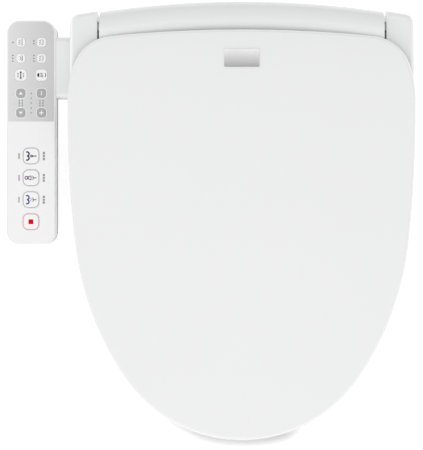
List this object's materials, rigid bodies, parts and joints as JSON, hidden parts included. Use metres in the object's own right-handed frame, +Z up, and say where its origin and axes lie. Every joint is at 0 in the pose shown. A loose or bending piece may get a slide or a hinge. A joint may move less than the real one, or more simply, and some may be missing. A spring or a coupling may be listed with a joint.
{
  "type": "electric bidet seat",
  "caption": "Elongated electric bidet seat: crowned lid and heated ring on a rear hinge, housing with a sliding spray wand and warm air dryer, and a side control panel.",
  "frame": {"origin": "midway between the two bowl bolts, on the plane of the bowl's rim", "axes": "+X to the right as seen from the front, so the control panel is at -X; +Y to the rear, from the lid's nose to the hinge; +Z up"},
  "size_m": [0.4885, 0.5182, 0.1395],
  "materials": {
    "lid_plastic": "gloss",
    "housing_plastic": "gloss",
    "seat_plastic": "gloss",
    "panel_plastic": "gloss",
    "film_grey": "satin film",
    "film_white": "satin film",
    "key_white": "satin",
    "key_grey": "satin",
    "lamp_lens": "clear moulding",
    "badge_metal": "bright",
    "bumper_rubber": "moulded",
    "plate_plastic": "moulded, fine grain",
    "button_plastic": "satin",
    "hinge_steel": "pressed and turned",
    "screw_steel": "zinc plated",
    "damper_body": "moulded",
    "inlet_brass": "nickel free, machined",
    "valve_body": "moulded",
    "tank_plastic": "natural, unpigmented",
    "heater_steel": "drawn tube",
    "hose_rubber": "silicone",
    "cradle_plastic": "moulded",
    "feed_steel": "drawn tube",
    "wand_plastic": "gloss",
    "gear_plastic": "moulded",
    "motor_can": "drawn can",
    "blower_plastic": "moulded",
    "flap_plastic": "gloss",
    "board_laminate": "glass laminate",
    "gland_rubber": "moulded",
    "heater_foil": "foil"
  },
  "bodies": {
    "housing": {"base_tray": "housing_plastic", "top_cover": "housing_plastic", "case_screws": "screw_steel", "mount_plate": "plate_plastic", "base_pads": "bumper_rubber", "hinge_brackets": "hinge_steel", "hinge_pins": "hinge_steel", "hinge_dampers": "damper_body", "water_inlet": "inlet_brass", "solenoid_valve": "valve_body", "water_tank": "tank_plastic", "tank_cover": "tank_plastic", "tank_heater": "heater_steel", "tank_hose": "hose_rubber", "wand_cradle": "cradle_plastic", "wand_feed_tube": "feed_steel", "wand_hose": "hose_rubber", "wand_motor": "motor_can", "blower_scroll": "blower_plastic", "blower_motor": "motor_can", "dryer_duct": "blower_plastic", "main_board": "board_laminate", "cord_gland": "gland_rubber", "panel_arm": "housing_plastic", "panel_upper_shell": "panel_plastic", "panel_lower_shell": "panel_plastic", "panel_board": "board_laminate", "upper_keypad_film": "film_grey", "lower_keypad_film": "film_white", "status_lamps": "lamp_lens"},
    "seat": {"seat_upper_shell": "seat_plastic", "seat_lower_shell": "seat_plastic", "seat_heater": "heater_foil", "seat_bumpers": "bumper_rubber"},
    "lid": {"lid_panel": "lid_plastic", "lid_hinge_cover": "lid_plastic", "lid_badge_plate": "badge_metal", "lid_bumpers": "bumper_rubber"},
    "wand": {"spray_wand": "wand_plastic", "wand_tip": "wand_plastic"},
    "pinion": {"wand_pinion": "gear_plastic"},
    "impeller": {"blower_impeller": "blower_plastic"},
    "flap": {"dryer_flap": "flap_plastic"},
    "release": {"release_button": "button_plastic"},
    "key_row_one_left": {"key_row_one_left": "key_white"},
    "key_row_one_right": {"key_row_one_right": "key_white"},
    "key_row_two_left": {"key_row_two_left": "key_white"},
    "key_row_two_right": {"key_row_two_right": "key_white"},
    "key_row_three_left": {"key_row_three_left": "key_white"},
    "key_row_three_right": {"key_row_three_right": "key_white"},
    "key_row_four_left": {"key_row_four_left": "key_grey"},
    "key_row_four_right": {"key_row_four_right": "key_grey"},
    "key_row_five_left": {"key_row_five_left": "key_grey"},
    "key_row_five_right": {"key_row_five_right": "key_grey"},
    "key_first": {"key_first": "key_white"},
    "key_second": {"key_second": "key_white"},
    "key_third": {"key_third": "key_white"},
    "key_stop": {"key_stop": "key_white"}
  },
  "joints": [
    {"name": "seat_hinge", "type": "hinge", "parent": "housing", "child": "seat", "pos_m": [0, 0.008, 0.108], "axis": [1, 0, 0], "range_deg": [-100, 0]},
    {"name": "lid_hinge", "type": "hinge", "parent": "seat", "child": "lid", "pos_m": [0, 0.008, 0.108], "axis": [-1, 0, 0], "range_deg": [0, 105]},
    {"name": "wand_slide", "type": "slide", "parent": "housing", "child": "wand", "axis": [0, -0.966, -0.2587], "range_m": [0, 0.075]},
    {"name": "pinion_spin", "type": "hinge", "parent": "housing", "child": "pinion", "pos_m": [0, -0.06099, 0.05025], "axis": [-1, 0, 0], "range_deg": [0, 615]},
    {"name": "impeller_spin", "type": "hinge", "parent": "housing", "child": "impeller", "pos_m": [0.064, -0.06, 0.041], "axis": [1, 0, 0], "continuous": true},
    {"name": "flap_hinge", "type": "hinge", "parent": "housing", "child": "flap", "pos_m": [0.064, -0.1156, 0.0261], "axis": [-1, 0, 0], "range_deg": [0, 60]},
    {"name": "release_push", "type": "slide", "parent": "housing", "child": "release", "axis": [-1, 0, 0], "range_m": [0, 0.004], "stiffness_N_per_m": 800},
    {"name": "key_row_one_left_press", "type": "slide", "parent": "housing", "child": "key_row_one_left", "axis": [0, 0.165, -0.9863], "range_m": [0, 0.0006], "stiffness_N_per_m": 1500},
    {"name": "key_row_one_right_press", "type": "slide", "parent": "housing", "child": "key_row_one_right", "axis": [0, 0.165, -0.9863], "range_m": [0, 0.0006], "stiffness_N_per_m": 1500},
    {"name": "key_row_two_left_press", "type": "slide", "parent": "housing", "child": "key_row_two_left", "axis": [0, 0.165, -0.9863], "range_m": [0, 0.0006], "stiffness_N_per_m": 1500},
    {"name": "key_row_two_right_press", "type": "slide", "parent": "housing", "child": "key_row_two_right", "axis": [0, 0.165, -0.9863], "range_m": [0, 0.0006], "stiffness_N_per_m": 1500},
    {"name": "key_row_three_left_press", "type": "slide", "parent": "housing", "child": "key_row_three_left", "axis": [0, 0.165, -0.9863], "range_m": [0, 0.0006], "stiffness_N_per_m": 1500},
    {"name": "key_row_three_right_press", "type": "slide", "parent": "housing", "child": "key_row_three_right", "axis": [0, 0.165, -0.9863], "range_m": [0, 0.0006], "stiffness_N_per_m": 1500},
    {"name": "key_row_four_left_press", "type": "slide", "parent": "housing", "child": "key_row_four_left", "axis": [0, 0.165, -0.9863], "range_m": [0, 0.0006], "stiffness_N_per_m": 1500},
    {"name": "key_row_four_right_press", "type": "slide", "parent": "housing", "child": "key_row_four_right", "axis": [0, 0.165, -0.9863], "range_m": [0, 0.0006], "stiffness_N_per_m": 1500},
    {"name": "key_row_five_left_press", "type": "slide", "parent": "housing", "child": "key_row_five_left", "axis": [0, 0.165, -0.9863], "range_m": [0, 0.0006], "stiffness_N_per_m": 1500},
    {"name": "key_row_five_right_press", "type": "slide", "parent": "housing", "child": "key_row_five_right", "axis": [0, 0.165, -0.9863], "range_m": [0, 0.0006], "stiffness_N_per_m": 1500},
    {"name": "key_first_press", "type": "slide", "parent": "housing", "child": "key_first", "axis": [0, 0.165, -0.9863], "range_m": [0, 0.0006], "stiffness_N_per_m": 1500},
    {"name": "key_second_press", "type": "slide", "parent": "housing", "child": "key_second", "axis": [0, 0.165, -0.9863], "range_m": [0, 0.0006], "stiffness_N_per_m": 1500},
    {"name": "key_third_press", "type": "slide", "parent": "housing", "child": "key_third", "axis": [0, 0.165, -0.9863], "range_m": [0, 0.0006], "stiffness_N_per_m": 1500},
    {"name": "key_stop_press", "type": "slide", "parent": "housing", "child": "key_stop", "axis": [0, 0.165, -0.9863], "range_m": [0, 0.0006], "stiffness_N_per_m": 1500}
  ],
  "couplings": [
    {"joint": "pinion_spin", "follows": "wand_slide", "rad_per_m": 142.86}
  ]
}
